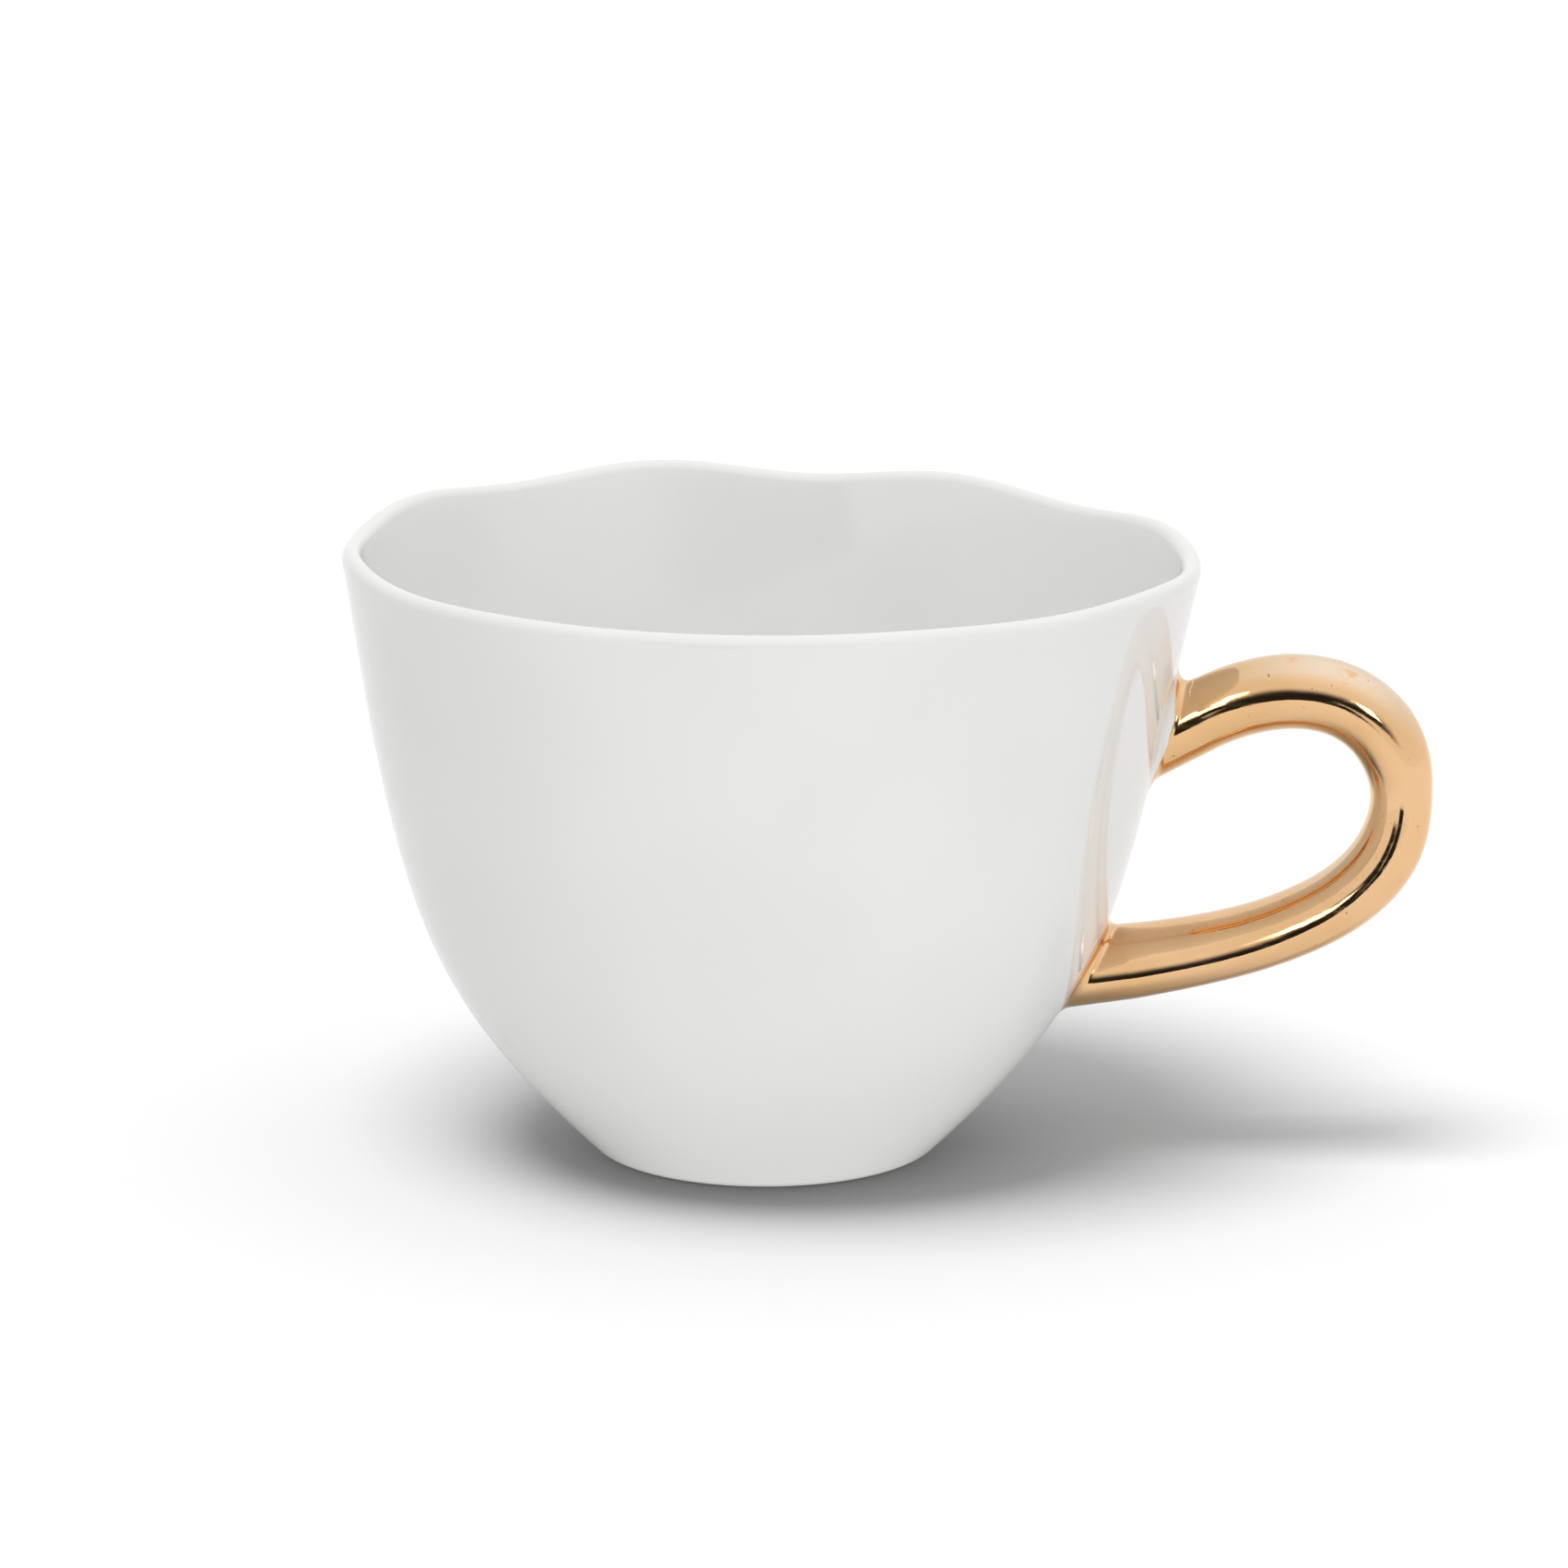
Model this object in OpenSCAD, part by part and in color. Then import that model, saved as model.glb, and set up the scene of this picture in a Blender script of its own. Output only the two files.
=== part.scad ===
// Hand-shaped porcelain teacup: a bowl with a softly wavy rim and a small rounded foot, and a round-rod
// loop handle that is stuck on with slip and coated in gold lustre.
// Millimetres. The foot stands on z = 0 with its centre at the origin, and the handle points along +X.

/* [Bowl] */
// Radius of the rim, before its waves
rim_r = 55; // [52:0.5:58]
// Height of the rim, before its waves
rim_h = 80; // [77:0.5:83]
// Thickness of the rounded lip
lip = 2.6; // [2:0.1:3.2]
// Slope of the wall at the rim, in degrees from level
rim_slope = 80; // [76:1:84]
// How far down the wall the slope of the rim carries
upper_fullness = 45; // [40:1:48]
// How far up the wall the slope of the foot carries
lower_fullness = 33; // [28:1:36]

/* [Foot and floor] */
// Radius of the flat that the cup stands on
foot_r = 20; // [18:0.5:22]
// Radius of the rounding between the flat and the wall
foot_round = 4.2; // [3:0.2:5]
// Slope of the wall just above the foot, in degrees from level
foot_slope = 44; // [40:1:48]
// Width of the unglazed ring round the recess
foot_ring = 3; // [2:0.5:4]
// Depth of the recess under the floor
recess_depth = 1.2; // [0.6:0.2:1.8]
// Height of the floor inside the cup
floor_h = 4.6; // [4:0.2:5.4]

/* [Rim waves] */
// Number of ripples that would go once round the rim
ripples = 8; // [6:1:10]
// Height of the ripples at the back, where they are strongest
ripple = 0.8; // [0:0.1:1.2]
// Direction of one ripple's crest
ripple_at = 156; // [0:1:360]
// How much the rim rises on its high side
tilt = 0.9; // [0:0.1:1.2]
// Direction of the rim's high side
tilt_at = 153; // [0:1:360]
// How much the rim is wider along the handle than across it
oval = 0.45; // [0:0.05:0.8]
// How much the rim bulges at its three soft corners
corner = 0.85; // [0:0.05:1.2]
// Height below which the bowl is perfectly round
round_below = 12; // [8:1:20]

/* [Handle] */
// Height at which the upper arm leaves the wall
upper_h = 56; // [54:0.2:57]
// Climb of the upper arm as it leaves the wall, in degrees
upper_climb = 28; // [24:1:32]
// How far the handle reaches from the cup's axis, to the middle of the rod
reach = 82.5; // [79:0.5:86]
// Height of the handle's outermost point
reach_h = 48.4; // [46:0.2:50]
// Height at which the lower arm leaves the wall
lower_h = 24.9; // [24:0.1:27]
// Climb of the lower arm as it leaves the wall, in degrees
lower_climb = 9; // [5:1:12]
// Rod radius at the upper joint
upper_rod = 4.5; // [4.2:0.1:4.8]
// Rod radius towards which the upper arm swells
upper_swell = 4.9; // [4.4:0.1:5.2]
// Rod radius on both sides of the outermost point, where the rod has a waist
loop_rod = 4.6; // [4.4:0.1:4.8]
// Rod radius at the outermost point
outer_rod = 3.95; // [3.7:0.05:4.4]
// Rod radius towards which the lower arm goes, before it thickens to its joint
lower_swell = 4.3; // [4.1:0.1:4.7]
// Rod radius at the lower joint
lower_rod = 5.1; // [4.6:0.1:5.4]
// Share by which the lower arm is deeper from front to back, and thinner across, than a round rod
lower_oval = 0.18; // [0:0.02:0.22]
// The same share at the outermost point, where the rod begins to turn oval
outer_oval = 0.04; // [0:0.01:0.05]
// How far the front of that oval dips, in degrees
oval_dip = 20; // [0:1:30]
// Radius of the slip fillet at each side of the upper joint
upper_fillet = 2.2; // [1.6:0.2:2.4]
// Radius of the slip fillet at each side of the lower joint
lower_fillet = 1.4; // [1:0.2:2]
// Share by which a fillet is larger above the rod, where the corner is sharp, and smaller below it
fillet_bias = 0.4; // [0:0.1:0.6]
// Thickness of the gold lustre coat
coat = 0.2; // [0.15:0.05:0.3]

/* [Hidden] */

porcelain = "whitesmoke";
lustre = "goldenrod";

around = 84;           // points round the bowl
wall_steps = 18;       // steps up each face of the wall
round_steps = 5;       // steps round the foot's edge and round each fillet
lip_steps = 6;         // steps over the lip
rod_sides = 24;        // points round the rod
arm_steps = 16;        // steps along each half of the handle
wall_search = 6;       // steps that find where a line meets the wall
wave_growth = 2;       // power with which the waves grow towards the rim
root = 6;              // length of the straight stretch at each end of the rod
upper_bend = 12.3;     // pull of the outermost point on the upper half of the handle
lower_bend = 15.2;     // pull of the outermost point on the lower half
upper_pull = 15.4;     // pull of the upper root on the upper half
lower_pull = 15.6;     // pull of the lower root on the lower half
waist_share = 0.15;    // share of each half of the handle over which its waist fades to a half
cut = 1;               // how far a cutter runs past the face that it cuts

lip_r = lip / 2;
lip_centre = [rim_r - lip_r, rim_h - lip_r];
lean = 90 - rim_slope;

// A point at a distance from the origin of a plane, in a direction
function polar(distance, angle) = distance * [cos(angle), sin(angle)];

// A point on a cubic curve through the first and last of four points, of any number of coordinates
function cubic(p, t) =
    p[0] * pow(1 - t, 3) + 3 * p[1] * pow(1 - t, 2) * t + 3 * p[2] * (1 - t) * pow(t, 2) + p[3] * pow(t, 3);

// Profiles are lists of [radius, height]
foot_profile = [for (i = [0:round_steps])
    [foot_r, foot_round] + polar(foot_round, -90 + foot_slope * i / round_steps)];

outer_start = foot_profile[round_steps];
outer_end = lip_centre + polar(lip_r, -lean);
outer_controls = [
    outer_start,
    outer_start + polar(lower_fullness, foot_slope),
    outer_end - polar(upper_fullness, rim_slope),
    outer_end
];
outer_profile = [for (i = [1:wall_steps]) cubic(outer_controls, i / wall_steps)];

lip_profile = [for (i = [1:lip_steps]) lip_centre + polar(lip_r, -lean + 180 * i / lip_steps)];

inner_start = lip_profile[lip_steps - 1];
inner_controls = [
    inner_start,
    inner_start - polar(upper_fullness, rim_slope),
    [foot_r + lower_fullness * cos(foot_slope) - lip, floor_h],
    [0, floor_h]
];
inner_profile = [for (i = [1:wall_steps - 1]) cubic(inner_controls, i / wall_steps)];

// The waves: heights and radii that the rim gains in a direction, and how strongly a height feels them
function ripple_fade(a) = (1 + sin(a)) / 2;
function height_wave(a) = tilt * cos(a - tilt_at) + ripple * ripple_fade(a) * cos(ripples * (a - ripple_at));
function plan_wave(a) = oval * cos(2 * a) + corner * cos(3 * a);
function growth(h) = pow(max(0, (h - round_below) / (lip_centre.y - round_below)), wave_growth);

// A profile point turned to a direction round the bowl, with the waves in it
function bowl_point(p, a) =
    let (r = p.x + plan_wave(a) * growth(p.y))
    [r * cos(a), r * sin(a), p.y + height_wave(a) * growth(p.y)];

function bowl_ring(p) = [for (i = [0:around - 1]) bowl_point(p, 360 * i / around)];

// Radius of the bowl's outside at a height, in a direction
wall_radii = [for (p = concat(foot_profile, outer_profile)) [p.y, p.x]];
function wall_radius(h, a) =
    let (flat_h = h - height_wave(a) * growth(h))
    lookup(flat_h, wall_radii) + plan_wave(a) * growth(flat_h);

// The point where a line through p, in a direction away from the cup, meets the bowl's outside
function on_wall(p, direction, steps = wall_search) =
    steps == 0 ? p :
    let (
        gap = norm([p.x, p.y]) - wall_radius(p.z, atan2(p.y, p.x)),
        outward = [p.x, p.y, 0] / norm([p.x, p.y])
    )
    on_wall(p - direction * gap / (direction * outward), direction, steps - 1);

// The handle's centre line lies in the plane y = 0, as points of [x, z, rod radius, oval share]
function arm_point(h, climb, distance, rod, oval_share = 0) =
    [wall_radius(h, 0) + distance * cos(climb), h + distance * sin(climb), rod, oval_share];

upper_start = arm_point(upper_h, upper_climb, root, upper_rod);
lower_start = arm_point(lower_h, lower_climb, root, lower_rod, lower_oval);
outermost = [reach, reach_h, loop_rod, outer_oval];
upper_controls = [
    upper_start,
    arm_point(upper_h, upper_climb, root + upper_pull, upper_swell),
    [reach, reach_h + upper_bend, loop_rod, 0],
    outermost
];
lower_controls = [
    outermost,
    [reach, reach_h - lower_bend, loop_rod, outer_oval * (1 + lower_bend / upper_bend)],
    arm_point(lower_h, lower_climb, root + lower_pull, lower_swell, lower_oval),
    lower_start
];

// The waist thins the rod smoothly about the outermost point, where away is the share of the way to a root
function waist(away) = (loop_rod - outer_rod) * (1 - pow(away, 2)) / (1 + pow(away / waist_share, 2));
function arm(controls, t, away) = cubic(controls, t) - [0, 0, waist(away), 0];
centre_line = concat(
    [for (i = [0:arm_steps]) arm(upper_controls, i / arm_steps, 1 - i / arm_steps)],
    [for (i = [1:arm_steps]) arm(lower_controls, i / arm_steps, i / arm_steps)]
);
last = len(centre_line) - 1;

// A ring round the centre line, where heading is the line's direction. The ring is thicker than the rod by
// extra all round, and by fillet, which is larger above the rod than below it. turn is the direction that the
// rod's surface faces, reach_out how far the surface is from the centre that way, and slide how far to its side
function turn(i) = 360 * i / rod_sides;
function uneven(fillet, i, heading) = fillet * (1 + fillet_bias * sin(turn(i)) * sign(cos(heading)));
function rod_ring(c, heading, extra, fillet = 0) = [for (i = [0:rod_sides - 1])
    let (
        oval_turn = 2 * (turn(i) + oval_dip),
        reach_out = c[2] * (1 + c[3] * cos(oval_turn)) + extra + uneven(fillet, i, heading),
        slide = -2 * c[2] * c[3] * sin(oval_turn),
        side = reach_out * cos(turn(i)) - slide * sin(turn(i)),
        lift = reach_out * sin(turn(i)) + slide * cos(turn(i))
    )
    [c.x - lift * sin(heading), side, c.y + lift * cos(heading)]];

function heading_at(i) =
    let (step = centre_line[min(i + 1, last)] - centre_line[max(i - 1, 0)])
    i == 0 ? upper_climb : i == last ? lower_climb + 180 : atan2(step.y, step.x);

function arm_rings(extra) = [for (i = [0:last]) rod_ring(centre_line[i], heading_at(i), extra)];

// A ring where the rod would meet the wall, moved out along the rod. fillet and out vary round the ring
function wall_ring(start, heading, climb, extra, fillet, out) =
    let (
        direction = [cos(climb), 0, sin(climb)],
        ring = rod_ring(start, heading, extra, fillet)
    )
    [for (i = [0:rod_sides - 1]) on_wall(ring[i], direction) + direction * uneven(out, i, heading)];

function upper_ring(extra, fillet, out) =
    wall_ring(upper_start, upper_climb, upper_climb, extra, fillet, out);
function lower_ring(extra, fillet, out) =
    wall_ring(lower_start, lower_climb + 180, lower_climb, extra, fillet, out);

function joined(lists) = [for (list = lists) for (item = list) item];
function backwards(list) = [for (i = [len(list) - 1:-1:0]) list[i]];

// Faces between neighbouring rings, where ring b follows ring a
function band(a, b, n) = [for (i = [0:n - 1]) [a * n + i, b * n + i, b * n + (i + 1) % n, a * n + (i + 1) % n]];

// A solid through a row of rings that comes to a point at each end
module capped(rings, first_tip, last_tip) {
    n = len(rings[0]);
    m = len(rings);
    polyhedron(
        concat(joined(rings), [first_tip, last_tip]),
        concat(
            joined([for (k = [0:m - 2]) band(k, k + 1, n)]),
            [for (i = [0:n - 1]) [m * n, i, (i + 1) % n]],
            [for (i = [0:n - 1]) [m * n + 1, (m - 1) * n + (i + 1) % n, (m - 1) * n + i]]
        )
    );
}

// A solid through a row of rings whose last ring joins its first
module looped(rings) {
    n = len(rings[0]);
    m = len(rings);
    polyhedron(joined(rings), joined([for (k = [0:m - 1]) band(k, (k + 1) % m, n)]));
}

// The bowl with its foot, in one casting. The recess leaves the ring that the cup stands on
module cup_bowl() {
    profile = concat(foot_profile, outer_profile, lip_profile, inner_profile);
    color(porcelain)
        difference() {
            capped([for (p = profile) bowl_ring(p)], [0, 0, 0], [0, 0, floor_h]);
            translate([0, 0, -cut]) cylinder(h = recess_depth + cut, r = foot_r - foot_ring, $fn = around);
        }
}

// The cast rod, from wall to wall
module handle_core() {
    rings = concat([upper_ring(0, 0, 0)], arm_rings(0), [lower_ring(0, 0, 0)]);
    upper_middle = [wall_radius(upper_h, 0), 0, upper_h];
    lower_middle = [wall_radius(lower_h, 0), 0, lower_h];
    color(porcelain) capped(rings, upper_middle, lower_middle);
}

// The slip collars round the ends of the rod, which sweep out to meet the wall in a quarter circle
function sweep(i) = 90 * i / round_steps;
function swept_radius(fillet, i) = fillet * (1 - sin(sweep(i)));
function swept_out(fillet, i) = fillet * (1 - cos(sweep(i)));

module upper_luting_joint() {
    rings = [for (i = [0:round_steps])
        upper_ring(coat, swept_radius(upper_fillet, i), swept_out(upper_fillet, i))];
    color(porcelain) looped(concat(rings, [upper_ring(0, 0, upper_fillet), upper_ring(0, 0, 0)]));
}

module lower_luting_joint() {
    rings = [for (i = [0:round_steps])
        lower_ring(coat, swept_radius(lower_fillet, i), swept_out(lower_fillet, i))];
    color(porcelain) looped(backwards(concat(rings, [lower_ring(0, 0, lower_fillet), lower_ring(0, 0, 0)])));
}

// The lustre skin over the rod, from one slip collar to the other
module gold_lustre_coat() {
    outside = concat(
        [upper_ring(coat, 0, upper_fillet)], arm_rings(coat), [lower_ring(coat, 0, lower_fillet)]
    );
    inside = concat(
        [upper_ring(0, 0, upper_fillet)], arm_rings(0), [lower_ring(0, 0, lower_fillet)]
    );
    color(lustre) looped(concat(outside, backwards(inside)));
}

cup_bowl();
handle_core();
upper_luting_joint();
lower_luting_joint();
gold_lustre_coat();
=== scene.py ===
"""The porcelain teacup with its gold lustre handle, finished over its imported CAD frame.

Shapes are worked out in millimetres and degrees, with the CAD's own formulas and driving values, and become
metres when a mesh is made. The cup stands on z = 0 at the origin, and its handle points along +X.
"""
import math

import bpy
import numpy as np
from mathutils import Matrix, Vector, noise


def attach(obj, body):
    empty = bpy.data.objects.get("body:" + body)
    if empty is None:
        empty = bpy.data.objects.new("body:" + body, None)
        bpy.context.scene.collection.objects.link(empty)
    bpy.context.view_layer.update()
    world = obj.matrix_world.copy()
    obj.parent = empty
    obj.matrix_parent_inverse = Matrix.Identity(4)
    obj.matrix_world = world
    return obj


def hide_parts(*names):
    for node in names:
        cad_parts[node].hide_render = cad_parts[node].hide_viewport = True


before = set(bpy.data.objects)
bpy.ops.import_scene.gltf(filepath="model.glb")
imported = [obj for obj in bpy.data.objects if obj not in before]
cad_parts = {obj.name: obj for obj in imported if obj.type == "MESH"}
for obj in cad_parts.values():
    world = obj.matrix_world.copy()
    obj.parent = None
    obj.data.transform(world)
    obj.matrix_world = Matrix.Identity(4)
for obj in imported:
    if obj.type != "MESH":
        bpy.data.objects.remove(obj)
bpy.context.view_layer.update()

MM = 0.001

# Bowl
RIM_R = 55.0            # radius of the rim
RIM_H = 80.0            # height of the rim
LIP = 2.6               # thickness of the lip
RIM_SLOPE = 80.0        # slope of the wall at the rim
UPPER_FULLNESS = 45.0   # how far down the wall the slope of the rim carries
LOWER_FULLNESS = 33.0   # how far up the wall the slope of the foot carries
FOOT_R = 20.0           # radius of the flat that the cup stands on
FOOT_ROUND = 4.2        # rounding between the flat and the wall
FOOT_SLOPE = 44.0       # slope of the wall just above the foot
FOOT_RING = 3.0         # width of the unglazed ring
RECESS_DEPTH = 1.2      # depth of the recess under the floor
RECESS_ROUND = 0.5      # rounding between the recess's ceiling and its side
RING_ROUND = 0.4        # rounding of the foot ring's inner edge
FLOOR_H = 4.6           # height of the floor inside
GLAZE_LINE = 12.0       # angle round the foot's rounding at which the glaze begins

# Waves of the rim
RIPPLES = 8             # ripples that would go once round the rim
RIPPLE = 0.8            # height of the ripples at the back
RIPPLE_AT = 156.0       # direction of one ripple's crest
TILT = 0.9              # rise of the rim on its high side
TILT_AT = 153.0         # direction of its high side
OVAL = 0.45             # how much the rim is wider along the handle than across it
CORNER = 0.85           # bulge of the rim at its three soft corners
ROUND_BELOW = 12.0      # height below which the bowl is round

# Handle. A climb is an angle above level, and a rod or a swell is a radius of the rod
UPPER_H = 56.0          # height at which the upper arm leaves the wall
UPPER_CLIMB = 28.0
REACH = 82.5            # the rod's outermost point, from the cup's axis
REACH_H = 48.4          # and its height
LOWER_H = 24.9          # height at which the lower arm leaves the wall
LOWER_CLIMB = 9.0
UPPER_ROD = 4.5         # at the upper joint
UPPER_SWELL = 4.9       # towards which the upper arm swells
LOOP_ROD = 4.6          # on both sides of the outermost point
OUTER_ROD = 3.95        # at the outermost point, in the waist
LOWER_SWELL = 4.3       # towards which the lower arm goes
LOWER_ROD = 5.1         # at the lower joint
LOWER_OVAL = 0.18       # share by which the lower arm is deeper from front to back, and thinner across
OUTER_OVAL = 0.04       # the same share at the outermost point
OVAL_DIP = 20.0         # how far the front of that oval dips
UPPER_FILLET = 2.2      # radius of the slip fillet round the upper joint
LOWER_FILLET = 1.4      # and round the lower one
FILLET_BIAS = 0.4       # share by which a fillet is larger above the rod, and smaller below it
COAT = 0.2              # thickness of the gold
ROOT = 6.0              # straight stretch at each end of the rod
UPPER_BEND = 12.3       # pull of the outermost point on the upper half of the handle
LOWER_BEND = 15.2       # and on the lower half
UPPER_PULL = 15.4       # pull of the upper root on the upper half
LOWER_PULL = 15.6       # pull of the lower root on the lower half
WAIST_SHARE = 0.15      # share of each half over which the waist fades to a half

# How finely the meshes follow their curves
AROUND = 288            # points round the bowl
WALL_STEPS = 90         # steps up each face of the wall
LIP_STEPS = 14          # steps over the lip
FOOT_STEPS = 10         # steps round the foot's rounding
EDGE_STEPS = 6          # steps round each small edge, and across the foot ring
FLOOR_STEPS = 10        # steps across the recess
ROD_SIDES = 96          # points round the rod
ARM_STEPS = 150         # steps along each half of the handle
FILLET_STEPS = 12       # steps round a fillet
ROOT_STEPS = 8          # steps from a fillet to the arm
WALL_SEARCH = 8         # steps that find where a line meets the wall

# The finish that a hand leaves
BURIED = 0.35           # how far a collar runs into the wall
FILM = 0.03             # how far the gold stands over the slip
FILM_SUNK = -2          # how far its inner side stands over the slip, in films: it is sunk into it
FILM_EDGE = 4.0         # degrees of the fillet in which the gold's edge rounds over
UPPER_EDGE = 12.0       # angle round the upper fillet at which the gold begins, above and below the rod
UPPER_EDGE_SIDES = 62.0     # and how much further round it begins at the rod's two sides
UPPER_EDGE_SWING = 2.6      # how much the brushed edge wanders
LOWER_EDGE = 7.0        # the same two angles at the lower fillet
LOWER_EDGE_SWING = 1.6
EDGE_WAVES = ((3, 1, 1.0), (7, 2, 0.7), (13, 3, 0.45), (24, 5, 0.3))    # waves round the rod, phase and share
ROD_WOBBLE = 0.035      # unevenness of the polished rod
ROD_WOBBLE_SIZE = 7.0   # and its width
FINER = 3               # how much finer and shallower the second unevenness is
WALL_WOBBLE = 0.10      # unevenness of the wall
WALL_SWELLS = ((3, 11, 0.0, 1.0), (5, -17, 1.3, 0.6), (2, 6, 4.0, 0.4))     # waves round, rise, phase, share
WOBBLE_GROWTH = 0.25    # power with which it grows towards the rim

LIP_R = LIP / 2
LIP_CENTRE = np.array([RIM_R - LIP_R, RIM_H - LIP_R])
LEAN = 90 - RIM_SLOPE


# Curves

def polar(distance, angle):
    """A point at a distance from the origin of a plane, in a direction."""
    turned = np.radians(angle)
    return np.stack([distance * np.cos(turned), distance * np.sin(turned)], axis=-1)


def cubic(controls, steps):
    """Points along a cubic curve through the first and last of four points."""
    a, b, c, d = (np.asarray(point, float) for point in controls)
    t = np.linspace(0, 1, steps + 1)[:, None]
    return a * (1 - t) ** 3 + 3 * b * (1 - t) ** 2 * t + 3 * c * (1 - t) * t ** 2 + d * t ** 3


def arc(centre, radius, start, end, steps):
    """Points along an arc, from one angle to another."""
    return np.asarray(centre) + polar(radius, np.linspace(start, end, steps + 1))


def line(start, end, steps):
    """Points along a straight line, without its two ends."""
    t = np.linspace(0, 1, steps + 1)[1:-1, None]
    return np.asarray(start) * (1 - t) + np.asarray(end) * t


# The bowl's profile, as points of (radius, height)

def outer_wall():
    """The outside, from the flat to the lip."""
    foot = arc([FOOT_R, FOOT_ROUND], FOOT_ROUND, -90, -90 + FOOT_SLOPE, FOOT_STEPS)
    end = LIP_CENTRE + polar(LIP_R, -LEAN)
    start = foot[-1]
    controls = [start, start + polar(LOWER_FULLNESS, FOOT_SLOPE), end - polar(UPPER_FULLNESS, RIM_SLOPE), end]
    return np.concatenate([foot, cubic(controls, WALL_STEPS)[1:]])


def inner_wall():
    """The inside, from the lip to the middle of the floor."""
    start = LIP_CENTRE + polar(LIP_R, 180 - LEAN)
    turn_in = [FOOT_R + LOWER_FULLNESS * math.cos(math.radians(FOOT_SLOPE)) - LIP, FLOOR_H]
    return cubic([start, start - polar(UPPER_FULLNESS, RIM_SLOPE), turn_in, [0, FLOOR_H]], WALL_STEPS)


def underside():
    """The recess and the flat of the foot ring, from the middle outwards."""
    side = FOOT_R - FOOT_RING
    ceiling = [side - RECESS_ROUND, RECESS_DEPTH]
    hollow = arc([side - RECESS_ROUND, RECESS_DEPTH - RECESS_ROUND], RECESS_ROUND, 90, 0, EDGE_STEPS)
    edge = arc([side + RING_ROUND, RING_ROUND], RING_ROUND, 180, 270, EDGE_STEPS)
    return np.concatenate([
        line([0, RECESS_DEPTH], ceiling, FLOOR_STEPS), hollow, edge, line(edge[-1], [FOOT_R, 0], EDGE_STEPS)
    ])


OUTER = outer_wall()


def growth(h):
    """How strongly a height feels the waves."""
    return (np.maximum(0, h - ROUND_BELOW) / (LIP_CENTRE[1] - ROUND_BELOW)) ** 2


def height_wave(a):
    """The height that the rim gains in a direction."""
    fade = (1 + np.sin(a)) / 2
    ripple = RIPPLE * fade * np.cos(RIPPLES * (a - math.radians(RIPPLE_AT)))
    return TILT * np.cos(a - math.radians(TILT_AT)) + ripple


def plan_wave(a):
    """The radius that the rim gains in a direction."""
    return OVAL * np.cos(2 * a) + CORNER * np.cos(3 * a)


def hand_wave(a, h):
    """The slow unevenness that forming and glazing by hand leave in the wall."""
    slow = sum(share * np.sin(waves * a + h / rise + phase) for waves, rise, phase, share in WALL_SWELLS)
    return WALL_WOBBLE * slow * growth(h) ** WOBBLE_GROWTH


def wall_radius(h, a):
    """Radius of the bowl's outside at a height, in a direction."""
    flat_h = h - height_wave(a) * growth(h)
    return np.interp(flat_h, OUTER[:, 1], OUTER[:, 0]) + plan_wave(a) * growth(flat_h) + hand_wave(a, flat_h)


def on_wall(points, direction):
    """The points where lines through some points meet the bowl's outside."""
    for _ in range(WALL_SEARCH):
        distance = np.hypot(points[:, 0], points[:, 1])
        outward = points * [1, 1, 0] / distance[:, None]
        gap = distance - wall_radius(points[:, 2], np.arctan2(points[:, 1], points[:, 0]))
        points = points - np.outer(gap / (outward @ direction), direction)
    return points


# The handle's rings

def arm_point(h, climb, distance, rod, oval=0.0):
    """A point of (x, z, rod radius, oval share) at a distance from the wall."""
    x, z = polar(distance, climb)
    return [wall_radius(h, 0.0) + x, h + z, rod, oval]


UPPER_START = arm_point(UPPER_H, UPPER_CLIMB, ROOT, UPPER_ROD)
LOWER_START = arm_point(LOWER_H, LOWER_CLIMB, ROOT, LOWER_ROD, LOWER_OVAL)


def waisted(points, away):
    """An arm's points with the waist, where away is each one's share of the way from the outermost point."""
    waist = (LOOP_ROD - OUTER_ROD) * (1 - away ** 2) / (1 + (away / WAIST_SHARE) ** 2)
    return points - np.outer(waist, [0, 0, 1, 0])


def centre_line():
    """The handle's centre line, from the upper root to the lower one."""
    outermost = [REACH, REACH_H, LOOP_ROD, OUTER_OVAL]
    upper = cubic([
        UPPER_START,
        arm_point(UPPER_H, UPPER_CLIMB, ROOT + UPPER_PULL, UPPER_SWELL),
        [REACH, REACH_H + UPPER_BEND, LOOP_ROD, 0],
        outermost,
    ], ARM_STEPS)
    lower = cubic([
        outermost,
        [REACH, REACH_H - LOWER_BEND, LOOP_ROD, OUTER_OVAL * (1 + LOWER_BEND / UPPER_BEND)],
        arm_point(LOWER_H, LOWER_CLIMB, ROOT + LOWER_PULL, LOWER_SWELL, LOWER_OVAL),
        LOWER_START,
    ], ARM_STEPS)
    away = np.linspace(0, 1, ARM_STEPS + 1)
    return np.concatenate([waisted(upper, 1 - away), waisted(lower, away)[1:]])


TURNS = np.radians(np.arange(ROD_SIDES) * 360 / ROD_SIDES)


def uneven(fillet, heading):
    """A fillet's size round the rod: larger above it than below it."""
    return fillet * (1 + FILLET_BIAS * np.sin(TURNS) * np.sign(math.cos(heading)))


def rod_ring(centre, heading, extra):
    """A ring round the centre line that is thicker than the rod by extra, with a point at each turn."""
    x, z, rod, oval = centre
    oval_turns = 2 * (TURNS + math.radians(OVAL_DIP))
    reach_out = rod * (1 + oval * np.cos(oval_turns)) + extra
    slide = -2 * rod * oval * np.sin(oval_turns)
    side = reach_out * np.cos(TURNS) - slide * np.sin(TURNS)
    lift = reach_out * np.sin(TURNS) + slide * np.cos(TURNS)
    return np.stack([x - lift * math.sin(heading), side, z + lift * math.cos(heading)], axis=1)


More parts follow.
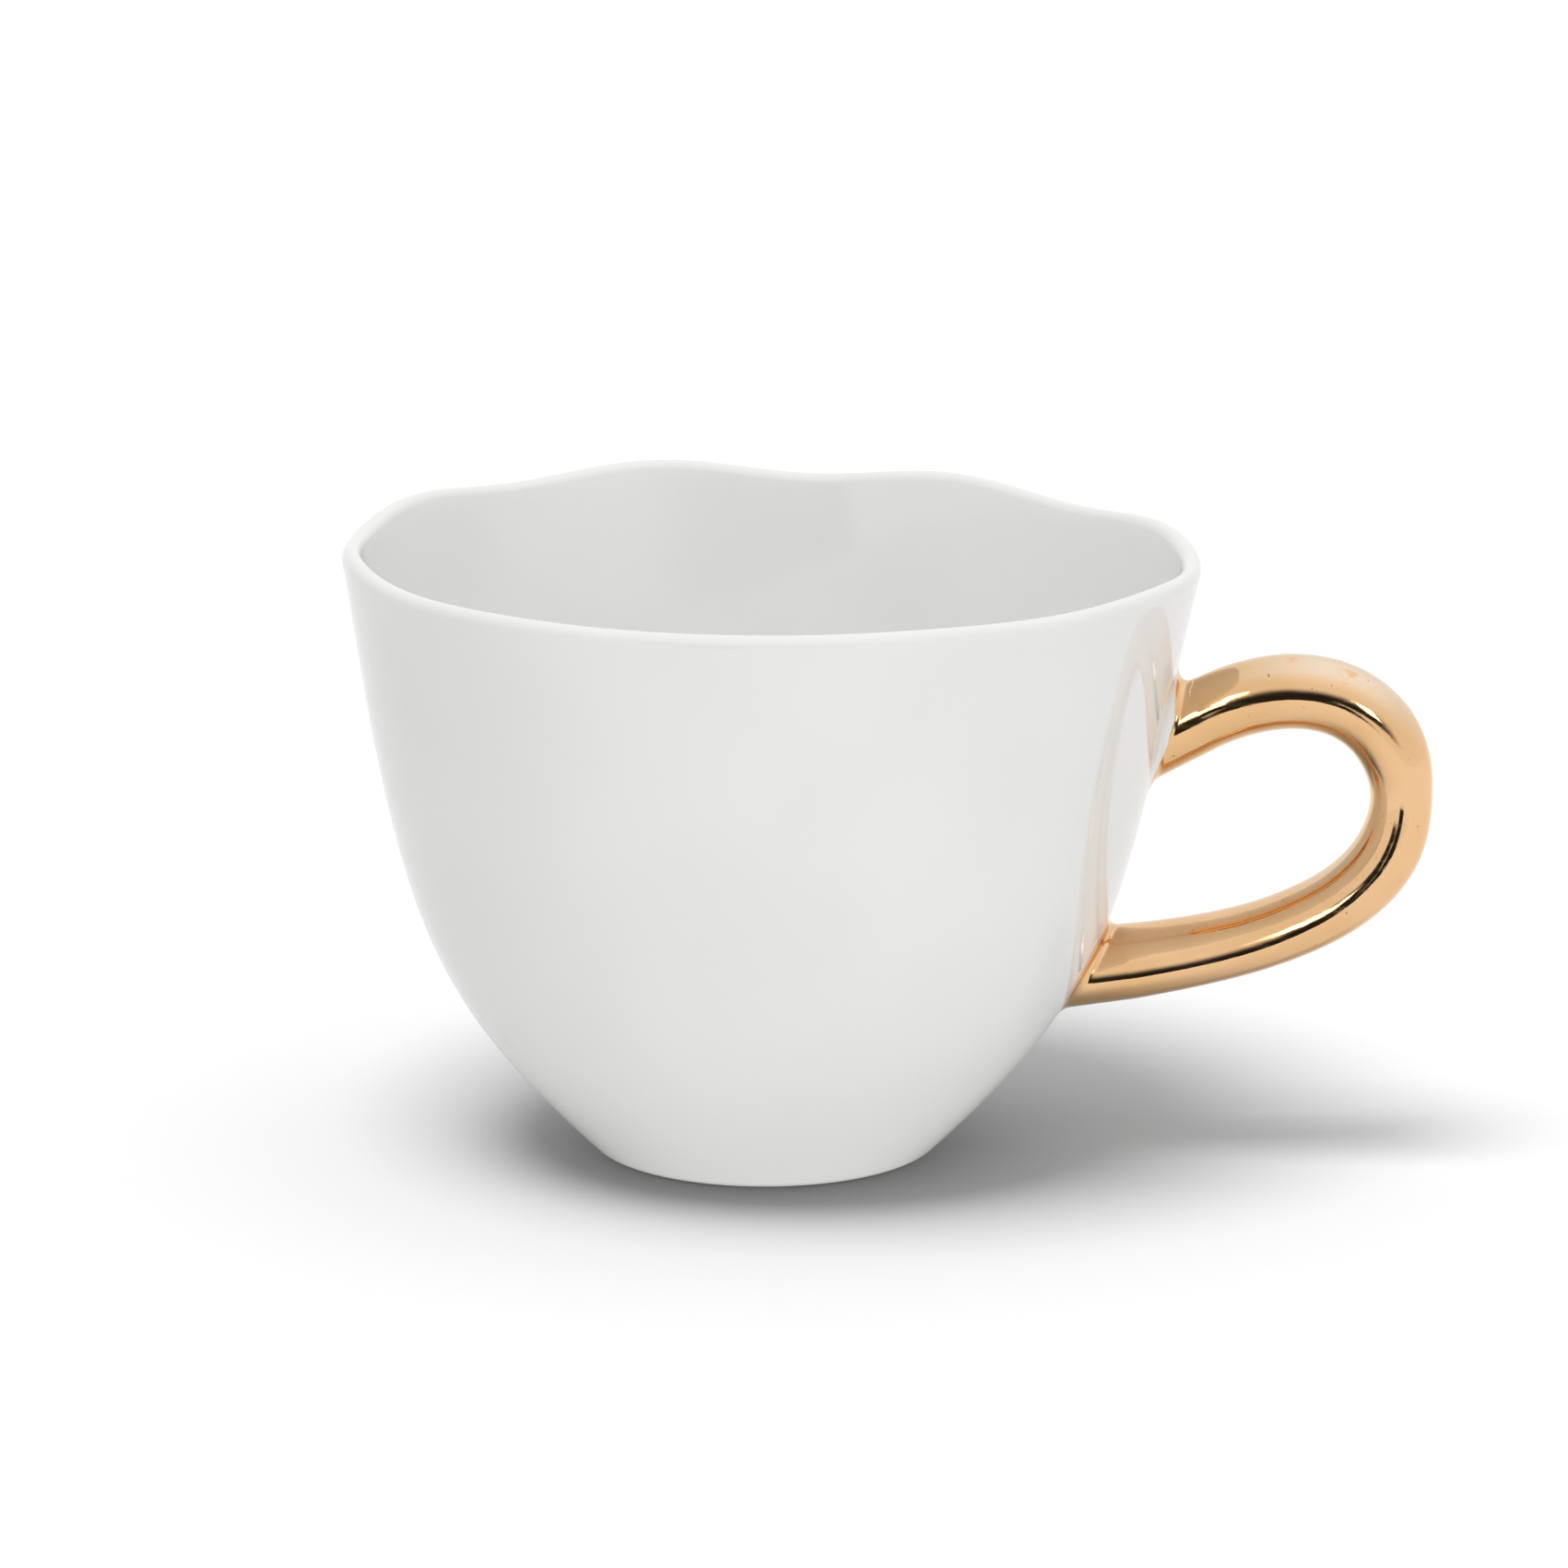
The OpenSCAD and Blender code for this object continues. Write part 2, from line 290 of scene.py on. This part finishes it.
def arm_rings(extra):
    """Rings all along the centre line."""
    points = centre_line()
    steps = np.gradient(points, axis=0)
    headings = np.arctan2(steps[:, 1], steps[:, 0])
    return [rod_ring(point, heading, extra) for point, heading in zip(points, headings)]


class Joint:
    """One end of the rod, with the fillet that runs from it to the wall."""

    def __init__(self, start, climb, heading, fillet):
        self.start = start
        self.heading = math.radians(heading)
        self.direction = np.array([math.cos(math.radians(climb)), 0, math.sin(math.radians(climb))])
        self.fillet = uneven(fillet, self.heading)

    def ring(self, extra, out):
        """A ring that is thicker than the rod by extra, and out from the wall."""
        ring = on_wall(rod_ring(self.start, self.heading, extra), self.direction)
        return ring + np.outer(np.broadcast_to(out, TURNS.shape), self.direction)

    def swept(self, angle, lift):
        """A ring at an angle round the fillet, 0 at the wall and 90 at the rod, raised off it by lift."""
        turned = np.radians(angle)
        extra = COAT + self.fillet * (1 - np.sin(turned)) + lift * np.sin(turned)
        out = self.fillet * (1 - np.cos(turned)) + lift * np.cos(turned)
        return self.ring(extra, out)


UPPER = Joint(UPPER_START, UPPER_CLIMB, UPPER_CLIMB, UPPER_FILLET)
LOWER = Joint(LOWER_START, LOWER_CLIMB, LOWER_CLIMB + 180, LOWER_FILLET)


def between(first, second, steps):
    """The rings between two rings, without them."""
    return [first * (1 - i / steps) + second * i / steps for i in range(1, steps)]


# Meshes

def add_grid(name, rows, looped=False, tips=()):
    """A mesh through a row of rings in millimetres. The row is a loop, or comes to a point at each end."""
    rows = np.array(rows)
    count, sides = rows.shape[:2]
    points = np.concatenate([rows.reshape(-1, 3), np.reshape(tips, (-1, 3))]) * MM
    bands = [(k, (k + 1) % count) for k in range(count if looped else count - 1)]
    faces = [
        (a * sides + i, b * sides + i, b * sides + (i + 1) % sides, a * sides + (i + 1) % sides)
        for a, b in bands for i in range(sides)
    ]
    if len(tips):
        first, last, start = count * sides, count * sides + 1, (count - 1) * sides
        faces += [(first, i, (i + 1) % sides) for i in range(sides)]
        faces += [(last, start + (i + 1) % sides, start + i) for i in range(sides)]
    mesh = bpy.data.meshes.new(name)
    mesh.from_pydata(points.tolist(), [], faces)
    mesh.validate()
    mesh.shade_smooth()
    piece = bpy.data.objects.new(name, mesh)
    bpy.context.scene.collection.objects.link(piece)
    return piece


def face_outward(piece):
    """Turns a closed mesh's faces outward."""
    mesh = piece.data
    mesh.calc_loop_triangles()
    volume = 0
    for triangle in mesh.loop_triangles:
        a, b, c = (mesh.vertices[corner].co for corner in triangle.vertices)
        volume += a.dot(b.cross(c))
    if volume < 0:
        mesh.flip_normals()


def fit_piece(piece, node, slot, *materials):
    """Makes a piece stand for a CAD node, with its materials."""
    face_outward(piece)
    for material in materials:
        piece.data.materials.append(material)
    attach(piece, "root")
    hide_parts(node)
    return piece


def make_bowl(glaze, bisque):
    """The bowl, with its waves. The ring that it stands on is left unglazed."""
    under = underside()
    lip = arc(LIP_CENTRE, LIP_R, -LEAN, 180 - LEAN, LIP_STEPS)
    profile = np.concatenate([under, OUTER, lip[1:-1], inner_wall()[:-1]])
    turns = np.radians(np.arange(AROUND) * 360 / AROUND)
    rings = []
    for radius, height in profile:
        r = radius + plan_wave(turns) * growth(height) + hand_wave(turns, height)
        z = height + height_wave(turns) * growth(height)
        rings.append(np.stack([r * np.cos(turns), r * np.sin(turns), z * np.ones(AROUND)], axis=1))
    piece = add_grid("glazed_bowl", rings, tips=[[0, 0, RECESS_DEPTH], [0, 0, FLOOR_H]])
    fit_piece(piece, "cup_bowl", "porcelain_bowl", glaze, bisque)
    ring_inside = (FOOT_R - FOOT_RING - RECESS_ROUND) * MM
    ring_top = FOOT_ROUND * (1 - math.cos(math.radians(GLAZE_LINE))) * MM
    for face in piece.data.polygons:
        middle = face.center
        if middle.z < ring_top and math.hypot(middle.x, middle.y) > ring_inside:
            face.material_index = 1
    return piece


def make_rod(material):
    """The cast rod under the gold, from wall to wall."""
    rings = [UPPER.ring(0, 0), *arm_rings(0), LOWER.ring(0, 0)]
    tips = [[wall_radius(UPPER_H, 0.0), 0, UPPER_H], [wall_radius(LOWER_H, 0.0), 0, LOWER_H]]
    return fit_piece(add_grid("cast_rod", rings, tips=tips), "handle_core", "porcelain_core", material)


def make_collar(name, node, joint, material):
    """A slip collar, which sweeps out from the rod to the wall and runs a little way into it."""
    outside = [joint.swept(90 * i / FILLET_STEPS, 0) for i in range(FILLET_STEPS + 1)]
    flare = COAT + joint.fillet
    rings = [joint.ring(flare, -BURIED), *outside, joint.ring(0, joint.fillet), joint.ring(0, -BURIED)]
    return fit_piece(add_grid(name, rings, looped=True), node, "glazed_slip", material)


def painted_edge(base, swing, phase):
    """The angle round a fillet at which the brushed gold begins, which wanders round the rod."""
    return base + swing * sum(share * np.sin(waves * TURNS + k * phase) for waves, k, share in EDGE_WAVES)


def gold_end(joint, edge, lift_scale):
    """The rings of gold over a fillet, from its painted edge to the bare rod."""
    spread = [0, *np.linspace(FILM_EDGE, 90, FILLET_STEPS + 1)]
    rings = []
    for step in spread:
        angle = edge + (90 - edge) * step / 90
        lift = FILM * lift_scale if step else -FILM
        rings.append(joint.swept(angle, lift))
    return rings


def wobbled(rings):
    """Rings with the slight unevenness of a rod that was finished by hand."""
    uneven_rings = []
    for ring in rings:
        middle = ring.mean(axis=0)
        offsets = [
            ROD_WOBBLE * noise.noise(Vector(point) / ROD_WOBBLE_SIZE)
            + ROD_WOBBLE / FINER * noise.noise(Vector(point) / ROD_WOBBLE_SIZE * FINER)
            for point in ring
        ]
        spokes = ring - middle
        lengths = np.linalg.norm(spokes, axis=1)[:, None]
        uneven_rings.append(ring + spokes / lengths * np.array(offsets)[:, None])
    return uneven_rings


def make_gold(material):
    """The gold coat over the rod, whose brushed ends lie over the two collars."""
    later = UPPER_EDGE_SIDES * np.cos(TURNS) ** 2
    upper_edge = painted_edge(UPPER_EDGE + later, UPPER_EDGE_SWING, 1.0)
    lower_edge = painted_edge(LOWER_EDGE, LOWER_EDGE_SWING, 2.2)
    outer_arm = wobbled(arm_rings(COAT))
    upper_outer = gold_end(UPPER, upper_edge, 1)
    lower_outer = gold_end(LOWER, lower_edge, 1)
    outside = [
        *upper_outer,
        *between(upper_outer[-1], outer_arm[0], ROOT_STEPS),
        *outer_arm,
        *between(outer_arm[-1], lower_outer[-1], ROOT_STEPS),
        *lower_outer[::-1],
    ]
    inner_arm = arm_rings(0)
    upper_inner = gold_end(UPPER, upper_edge, FILM_SUNK)[2:]
    lower_inner = gold_end(LOWER, lower_edge, FILM_SUNK)[2:]
    inside = [*upper_inner, *inner_arm, *lower_inner[::-1]]
    piece = add_grid("gold_lustre_skin", [*outside, *inside[::-1]], looped=True)
    return fit_piece(piece, "gold_lustre_coat", "gold_lustre", material)


# Materials. Colours are linear, and a noise's size and a bump's height are in millimetres

GLAZE = ((0.80, 0.80, 0.79), (0.78, 0.78, 0.765))       # where it is thick, and where it is thin
BISQUE = ((0.78, 0.76, 0.71), (0.70, 0.68, 0.63))       # clean, and rubbed
GOLD = ((0.80, 0.51, 0.28), (0.76, 0.47, 0.23))         # pale, and deep
PAINTED_HIGHLIGHT = (0.80, 0.64, 0.48)                               # painted highlight: cream given to the gold on top of the rod and at glancing angles
SPECK = (0.30, 0.17, 0.08)
FLOOR_GREY = (0.15, 0.15, 0.15, 1)


class Tree:
    """A short way to build a tree of nodes."""

    def __init__(self, tree):
        self.tree = tree

    def add(self, kind, **values):
        """Adds a node. Each value is a setting of the node, or else what one of its sockets takes."""
        node = self.tree.nodes.new(kind)
        for name, value in values.items():
            if hasattr(node, name):
                setattr(node, name, value)
            else:
                self.put(node.inputs[name.replace("_", " ")], value)
        return node

    def put(self, socket, value):
        """Links another node's output to a socket, or sets the socket."""
        if isinstance(value, bpy.types.NodeSocket):
            self.tree.links.new(value, socket)
        else:
            socket.default_value = value

    def math(self, operation, first, second=0.0):
        """A number made from one number or from two."""
        node = self.add("ShaderNodeMath", operation=operation)
        self.put(node.inputs[0], first)
        self.put(node.inputs[1], second)
        return node.outputs["Value"]

    def ramp(self, value, start, end, low, high, blend="LINEAR"):
        """A value mapped from one range to another, and held within it."""
        limits = {"From_Min": start, "From_Max": end, "To_Min": low, "To_Max": high}
        node = self.add("ShaderNodeMapRange", interpolation_type=blend, Value=value, **limits)
        return node.outputs["Result"]

    def split(self, vector):
        """The three numbers of a vector."""
        return self.add("ShaderNodeSeparateXYZ", Vector=vector).outputs


class Nodes(Tree):
    """One material's nodes."""

    def __init__(self, name):
        self.material = bpy.data.materials.new(name)
        self.material.use_nodes = True
        super().__init__(self.material.node_tree)

    def shade(self, **values):
        """Sets the shader's own sockets."""
        shader = self.tree.nodes["Principled BSDF"]
        for name, value in values.items():
            self.put(shader.inputs[name.replace("_", " ")], value)

    def place(self, scale=(1, 1, 1)):
        """The piece's own coordinates, in millimetres, stretched by scale."""
        coordinates = self.add("ShaderNodeTexCoord").outputs["Object"]
        stretched = tuple(factor / MM for factor in scale)
        return self.add("ShaderNodeMapping", Vector=coordinates, Scale=stretched).outputs["Vector"]

    def noise(self, size, detail=2.0, roughness=0.5, place=None):
        """Noise whose features are about size millimetres wide."""
        vector = place or self.place()
        settings = {"Scale": 1 / size, "Detail": detail, "Roughness": roughness}
        return self.add("ShaderNodeTexNoise", Vector=vector, **settings).outputs["Fac"]

    def mix(self, factor, first, second):
        """A colour between two colours."""
        node = self.add("ShaderNodeMix", data_type="RGBA")
        self.put(node.inputs["Factor"], factor)
        for socket, colour in ((node.inputs[6], first), (node.inputs[7], second)):
            self.put(socket, colour if isinstance(colour, bpy.types.NodeSocket) else (*colour, 1))
        return node.outputs[2]

    def bump(self, height, distance, strength=1.0):
        """A normal from a height that stands distance millimetres tall."""
        node = self.add("ShaderNodeBump", Height=height, Distance=distance * MM, Strength=strength)
        return node.outputs["Normal"]


def glaze_material(name, thick, thin):
    """White glaze: nearly even, with slow changes in thickness and gloss, and a faint ripple."""
    nodes = Nodes(name)
    thinned = nodes.ramp(nodes.noise(26, detail=1), 0.35, 0.65, 0, 1)
    nodes.shade(
        Base_Color=nodes.mix(thinned, thick, thin),
        Roughness=nodes.ramp(nodes.noise(9, detail=3), 0.3, 0.7, 0.05, 0.10),
        IOR=1.5,
        Normal=nodes.bump(nodes.noise(3.2, detail=1), 0.004),
    )
    return nodes.material


def bisque_material(name, clean, rubbed):
    """Bare fired porcelain: matt, slightly warm, with fine grain and faint rub marks."""
    nodes = Nodes(name)
    grain = nodes.noise(0.5, detail=4)
    rub = nodes.ramp(nodes.noise(4, detail=3), 0.4, 0.75, 0, 1)
    nodes.shade(
        Base_Color=nodes.mix(rub, clean, rubbed),
        Roughness=nodes.ramp(grain, 0.3, 0.7, 0.6, 0.8),
        Normal=nodes.bump(grain, 0.02),
    )
    return nodes.material


def painted_highlight_share(nodes):
    """How much painted highlight the gold gets: most on top of the rod and at glancing angles, broken by
    patches, less near the wall and low down.
    """
    _, _, up = nodes.split(nodes.add("ShaderNodeTexCoord").outputs["Normal"])
    patches = nodes.noise(2.6, detail=5, roughness=0.6, place=nodes.place((0.5, 1, 1)))
    glancing = nodes.ramp(nodes.add("ShaderNodeLayerWeight").outputs["Facing"], 0.02, 0.14, 0, 1)
    x, _, z = nodes.split(nodes.place())
    factors = [
        nodes.ramp(patches, 0.57, 0.63, 1, 0),
        glancing,
        nodes.ramp(x, 60, 72, 0.2, 1),
        nodes.ramp(z, 34, 50, 0.25, 1),
    ]
    share = nodes.ramp(up, 0.25, 0.75, 0, 1)
    for factor in factors:
        share = nodes.math("MULTIPLY", share, factor)
    return share


def gold_material():
    """Gold lustre: a peach mirror with a patchy painted highlight on top and at glancing angles, dark specks,
    faint brush marks and a fine ripple.
    """
    nodes = Nodes("gold_lustre")
    tone = nodes.ramp(nodes.noise(11, detail=2), 0.35, 0.65, 0, 1)
    # painted highlight: the top of the rod and its glancing edges are mixed toward cream
    colour = nodes.mix(painted_highlight_share(nodes), nodes.mix(tone, *GOLD), PAINTED_HIGHLIGHT)
    specks = nodes.ramp(nodes.noise(0.8, detail=3, roughness=0.6), 0.70, 0.73, 0, 1)
    brushed = nodes.noise(1.0, detail=3, place=nodes.place((0.12, 1.3, 1.3)))
    nodes.shade(
        Base_Color=nodes.mix(specks, colour, SPECK),
        Metallic=1.0,
        Roughness=nodes.ramp(brushed, 0.45, 0.75, 0.05, 0.16),
        Normal=nodes.bump(nodes.noise(1.1, detail=3), 0.006),
    )
    return nodes.material


# The studio. Its distances are in metres

FLOOR_HALF = 3.0            # half the floor's width
FLOOR_FRONT = 0.27          # how far the floor reaches in front of the cup
TARGET = Vector((0, 0, 0.040))
AZIMUTH = 5.0               # the camera's place round the cup
ELEVATION = 13.6
DISTANCE = 1.0
LENS = 176.25
SENSOR = 36.0
AIM_RIGHT = 0.0025          # how far past the target the camera looks, to its right
AIM_UP = 0.00825            # and upward
VIEW_END = 20

# The tent, in degrees of azimuth and elevation. A window rises, falls, and is soft over its last two numbers
WALLS = (0.78, 1.12)        # brightness of its walls at the bottom and at the top
WALLS_RISE = (0, 0.9)       # the height over which they brighten, as a share of straight up
MIRRORED_WALLS = 1.0        # the least brightness that they show in a mirror
SHADED_SIDE = 0.80          # the share of it that is left on the side away from the handle
SHADE_FADES = (-0.9, 0.3)   # where that shade fades out, as a share of straight towards the handle's side
GAP_ACROSS = (-22, 14, 8, 32)   # the dark opening that mirrors show
GAP_TOP = (4, 30)
GAP_DARK = 0.02             # the share of the walls' brightness that is left in it
LOW_GAP_ACROSS = (-8, 3, 4, 4)  # its narrow part, below the level of the cup
LOW_GAP_TOP = (-4, 1)

# Lights, by what they light. Each has a kind, azimuth, elevation, distance, power and other settings
TABLE_LIGHTS = {
    "key_on_table": ("SUN", -35, 72, 2.0, 11.0, {"angle": math.radians(30)}),
    "top_on_table": ("SUN", 0, 90, 2.0, 9.2, {"angle": math.radians(130)}),
}
CUP_LIGHTS = {
    "front_box": ("AREA", -10, 42, 1.2, 2.8, {"size": 0.8}),
    "fill": ("AREA", 50, 10, 1.6, 0.2, {"size": 0.8}),
    "bounce": ("AREA", 30, -60, 0.8, 1.5, {"size": 0.6}),
}
GOLD_STRIPS = {
    "left_strip": ("AREA", -15, 18, 2.0, 1.7, {"shape": "RECTANGLE", "size": 0.22, "size_y": 0.65}),
    "right_strip": ("AREA", 23, 14, 2.0, 1.1, {"shape": "RECTANGLE", "size": 0.30, "size_y": 0.35}),
}


def toward(azimuth, elevation):
    """The direction from the cup to a place round it. Azimuth 0 is the front, and 90 the handle's side."""
    a, e = math.radians(azimuth), math.radians(elevation)
    return Vector((math.sin(a) * math.cos(e), -math.cos(a) * math.cos(e), math.sin(e)))


def aim(thing, position, target):
    """Puts a thing somewhere, and turns it to look at a target."""
    thing.location = position
    thing.rotation_euler = (target - position).to_track_quat("-Z", "Y").to_euler()


def add_camera():
    """The camera: a long lens, a little above the cup and to its right."""
    data = bpy.data.cameras.new("camera")
    data.lens = LENS
    data.sensor_width = SENSOR
    data.clip_end = VIEW_END
    camera = bpy.data.objects.new("camera", data)
    bpy.context.scene.collection.objects.link(camera)
    position = TARGET + toward(AZIMUTH, ELEVATION) * DISTANCE
    right = toward(AZIMUTH + 90, 0)
    up = toward(AZIMUTH + 180, 90 - ELEVATION)
    aim(camera, position, TARGET + right * AIM_RIGHT + up * AIM_UP)
    bpy.context.scene.camera = camera


def add_lights(lights, lit, mirrored=False):
    """Lights that look at the cup. They light only the things in one collection, and some show in mirrors."""
    for name, (kind, azimuth, elevation, distance, power, settings) in lights.items():
        data = bpy.data.lights.new(name, kind)
        data.energy = power
        for setting, value in settings.items():
            setattr(data, setting, value)
        light = bpy.data.objects.new(name, data)
        bpy.context.scene.collection.objects.link(light)
        light.light_linking.receiver_collection = lit
        light.light_linking.blocker_collection = bpy.data.collections["cup"]
        light.visible_glossy = mirrored
        aim(light, TARGET + toward(azimuth, elevation) * distance, TARGET)


def collect(name, things):
    """A collection that lights can be linked to."""
    collection = bpy.data.collections.new(name)
    for thing in things:
        collection.objects.link(thing)
    return collection


def add_floor():
    """The plain floor. It ends a little in front of the view, and isn't seen by the cup's diffuse rays."""
    mesh = bpy.data.meshes.new("floor")
    corners = [(-FLOOR_HALF, -FLOOR_FRONT, 0), (FLOOR_HALF, -FLOOR_FRONT, 0)]
    corners += [(FLOOR_HALF, FLOOR_HALF, 0), (-FLOOR_HALF, FLOOR_HALF, 0)]
    mesh.from_pydata(corners, [], [(0, 1, 2, 3)])
    floor = bpy.data.objects.new("floor", mesh)
    bpy.context.scene.collection.objects.link(floor)
    nodes = Nodes("floor")
    nodes.shade(Base_Color=FLOOR_GREY, Roughness=1.0, Specular_IOR_Level=0.0)
    mesh.materials.append(nodes.material)
    floor.visible_diffuse = False
    return floor


class Sky(Tree):
    """The world's nodes."""

    def __init__(self, name):
        world = bpy.data.worlds.new(name)
        bpy.context.scene.world = world
        world.use_nodes = True
        super().__init__(world.node_tree)

    def step(self, value, start, end, low=0.0, high=1.0):
        """A smooth step from one number to another, while a value goes from start to end."""
        return self.ramp(value, start, end, low, high, blend="SMOOTHSTEP")

    def window(self, value, rise, fall, soft_rise, soft_fall):
        """1 while a value lies between rise and fall, and softly 0 outside them."""
        risen = self.step(value, rise - soft_rise, rise)
        return self.math("MULTIPLY", risen, self.step(value, fall, fall + soft_fall, 1, 0))


def dark_opening(sky, azimuth, elevation):
    """The tent's opening in front of the cup: wide above the cup's level, and narrow below it."""
    low = sky.window(azimuth, *LOW_GAP_ACROSS)
    high = sky.math("MULTIPLY", sky.window(azimuth, *GAP_ACROSS), sky.step(elevation, *LOW_GAP_TOP))
    return sky.math("MULTIPLY", sky.math("MAXIMUM", low, high), sky.step(elevation, *GAP_TOP, 1, 0))


def add_world():
    """A white tent: bright overhead, open and dark in front as mirrors show it, and plain white behind."""
    sky = Sky("tent")
    east, north, up = sky.split(sky.add("ShaderNodeTexCoord").outputs["Generated"])
    south = sky.math("MULTIPLY", north, -1)
    azimuth = sky.math("DEGREES", sky.math("ARCTAN2", east, south))
    elevation = sky.math("DEGREES", sky.math("ARCSINE", up))
    ray = sky.add("ShaderNodeLightPath").outputs
    mirrored = ray["Is Glossy Ray"]
    shade = sky.step(east, *SHADE_FADES, SHADED_SIDE, 1)
    walls = sky.math("MULTIPLY", sky.step(up, *WALLS_RISE, *WALLS), shade)
    walls = sky.math("MAXIMUM", walls, sky.math("MULTIPLY", mirrored, MIRRORED_WALLS))
    gap = sky.math("MULTIPLY", dark_opening(sky, azimuth, elevation), mirrored)
    light = sky.math("MULTIPLY", walls, sky.step(gap, 0, 1, 1, GAP_DARK))
    background = sky.tree.nodes["Background"].inputs
    background["Color"].default_value = (1, 1, 1, 1)
    sky.put(background["Strength"], sky.math("MAXIMUM", light, ray["Is Camera Ray"]))


def light_studio(pieces):
    """The camera, floor, tent and lights."""
    bpy.context.scene.view_settings.view_transform = "Standard"
    add_camera()
    add_world()
    cup = collect("cup", pieces)
    gold = collect("gold", [piece for piece in pieces if piece.name == "gold_lustre_skin"])
    table = collect("table", [add_floor()])
    add_lights(TABLE_LIGHTS, table)
    add_lights(CUP_LIGHTS, cup)
    add_lights(GOLD_STRIPS, gold, mirrored=True)


# Everything

glaze = glaze_material("white_glaze", *GLAZE)
slip = glaze_material("glazed_slip", *GLAZE)
bisque = bisque_material("bare_foot", *BISQUE)
core = bisque_material("porcelain_core", *BISQUE)

cup_pieces = [
    make_bowl(glaze, bisque),
    make_rod(core),
    make_collar("upper_slip_collar", "upper_luting_joint", UPPER, slip),
    make_collar("lower_slip_collar", "lower_luting_joint", LOWER, slip),
    make_gold(gold_material()),
]
light_studio(cup_pieces)
